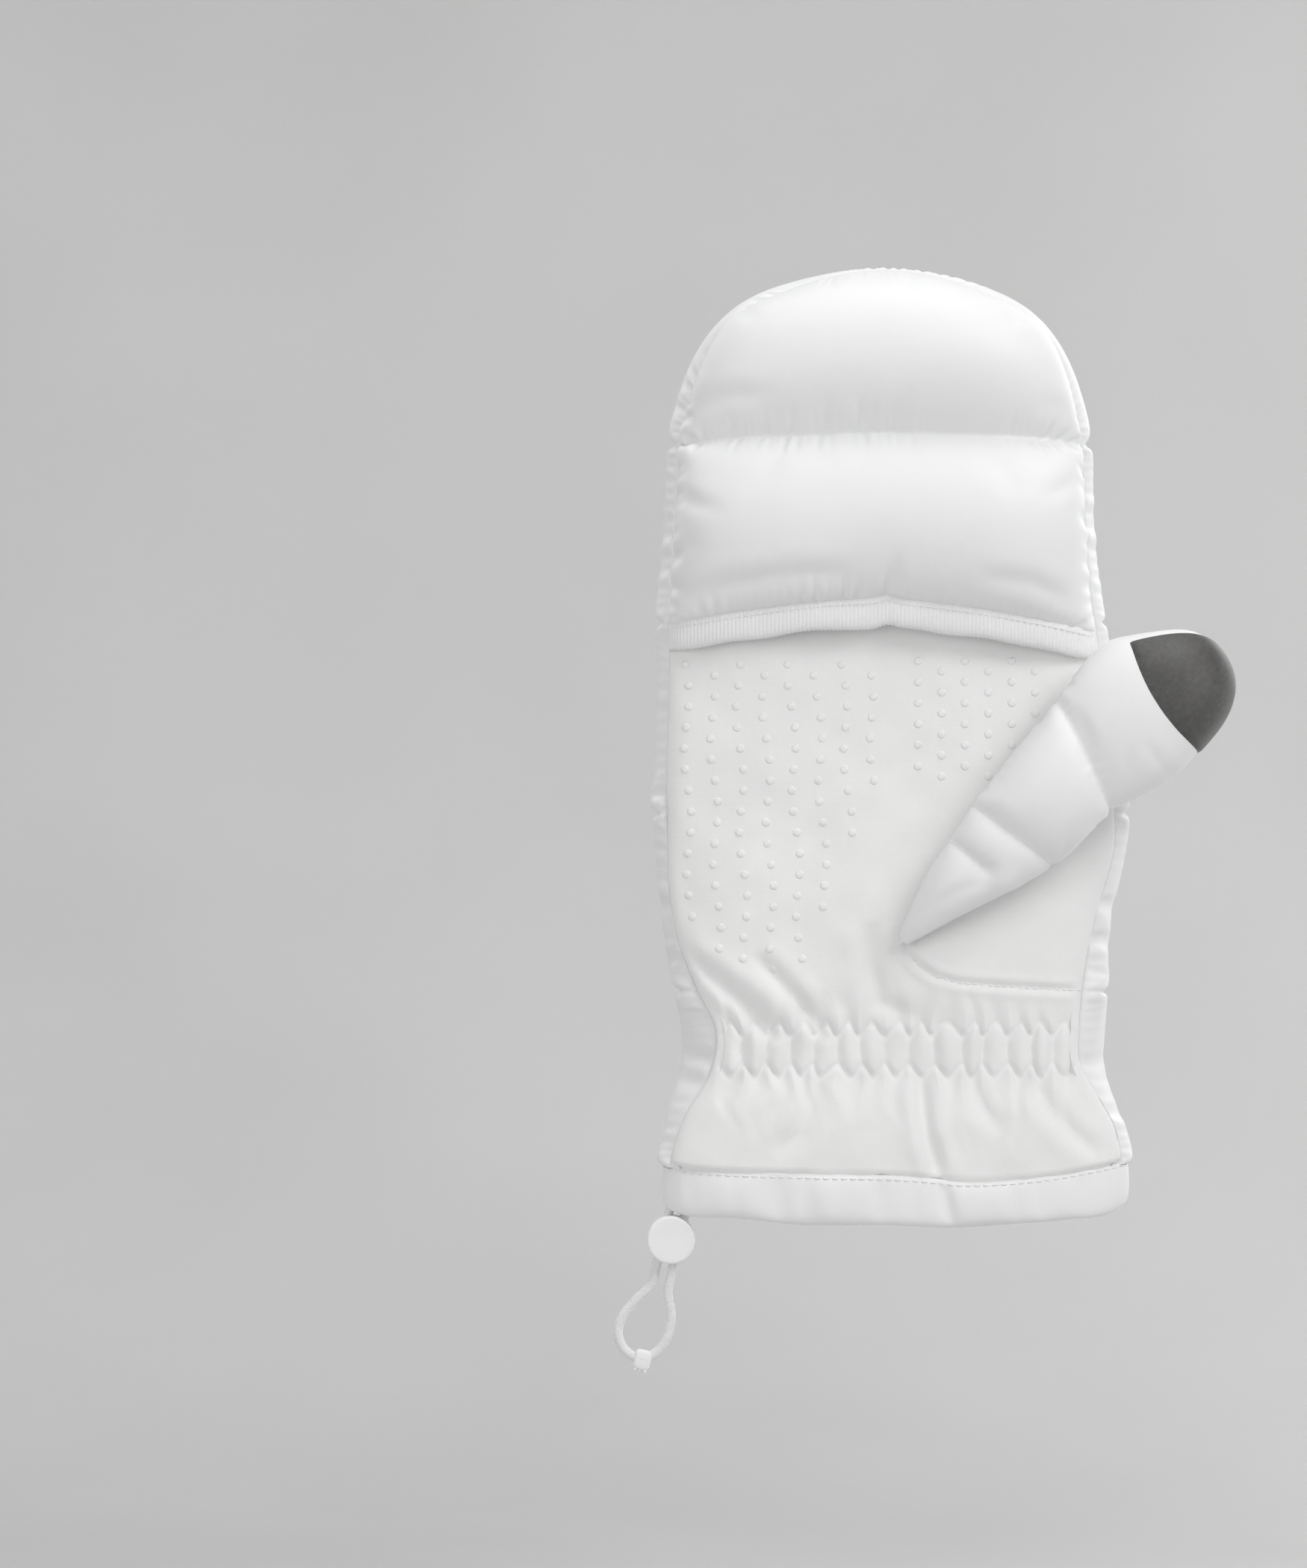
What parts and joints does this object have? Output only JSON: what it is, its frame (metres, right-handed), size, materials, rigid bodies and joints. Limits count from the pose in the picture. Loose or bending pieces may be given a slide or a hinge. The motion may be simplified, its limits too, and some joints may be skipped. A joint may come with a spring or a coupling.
{
  "type": "ski mitten",
  "caption": "Right-hand convertible ski mitten: down-quilted back, fold-back finger cap, lined softshell palm, curved thumb with touch patch, drawcord hem with cord lock",
  "frame": {"origin": "middle of the cuff opening, in the plane of the hem's lower edge", "axes": "+Z runs from the cuff to the fingertips, -Y faces out of the palm, +Y out of the quilted back, +X points to the thumb side of this right-hand mitten"},
  "size_m": [0.1787, 0.0629, 0.3243],
  "materials": {
    "shell_fabric": "white coated woven nylon, soft sheen",
    "palm_softshell": "white matte softshell with small raised silicone grip dots",
    "fill_down": "down and fibre insulation, hidden",
    "lining_fleece": "light grey brushed fleece",
    "touch_patch": "charcoal synthetic leather, fine ribs",
    "elastic_band": "knitted elastic, hidden",
    "drawcord": "white braided elastic cord",
    "lock_plastic": "white moulded acetal, satin",
    "spring_steel": "bright drawn wire"
  },
  "bodies": {
    "hand": {"back_shell": "shell_fabric", "back_fill_3": "fill_down", "back_fill_4": "fill_down", "back_fill_5": "fill_down", "palm_panel": "palm_softshell", "thumb_gusset": "palm_softshell", "palm_insulation": "fill_down", "gauntlet_insulation": "fill_down", "wrist_elastic": "elastic_band", "hand_lining": "lining_fleece", "hem_channel": "shell_fabric", "drawcord_in_hem": "drawcord", "thumb_base_shell": "shell_fabric", "thumb_base_fill": "fill_down", "thumb_base_lining": "lining_fleece"},
    "cap": {"cap_back_shell": "shell_fabric", "cap_back_fill_1": "fill_down", "cap_back_fill_2": "fill_down", "cap_palm_shell": "shell_fabric", "cap_palm_fill_1": "fill_down", "cap_palm_fill_2": "fill_down", "cap_binding": "shell_fabric", "cap_lining": "lining_fleece"},
    "thumb": {"thumb_shell": "shell_fabric", "thumb_fill": "fill_down", "thumb_lining": "lining_fleece", "thumb_touch_patch": "touch_patch"},
    "drawcord": {"drawcord_loop": "drawcord", "cord_end_clip": "lock_plastic"},
    "lock": {"lock_body": "lock_plastic", "lock_spring": "spring_steel"},
    "button": {"lock_button": "lock_plastic"}
  },
  "joints": [
    {"name": "cap_flip", "type": "hinge", "parent": "hand", "child": "cap", "pos_m": [-0.0035, 0.02, 0.175], "axis": [-1, 0, 0], "range_deg": [0, 150]},
    {"name": "thumb_lift", "type": "hinge", "parent": "hand", "child": "thumb", "pos_m": [0.044, -0.0365, 0.1237], "axis": [0.7302, 0, -0.6832], "range_deg": [0, 40]},
    {"name": "drawcord_pull", "type": "slide", "parent": "hand", "child": "drawcord", "axis": [-0.225, 0, -0.9744], "range_m": [0, 0.014], "stiffness_N_per_m": 60},
    {"name": "lock_slide", "type": "slide", "parent": "drawcord", "child": "lock", "axis": [-0.225, 0, -0.9744], "range_m": [0, 0.007]},
    {"name": "button_press", "type": "slide", "parent": "lock", "child": "button", "axis": [0, -1, 0], "range_m": [0, 0.0015], "stiffness_N_per_m": 800, "deforming": ["lock_spring"]}
  ]
}
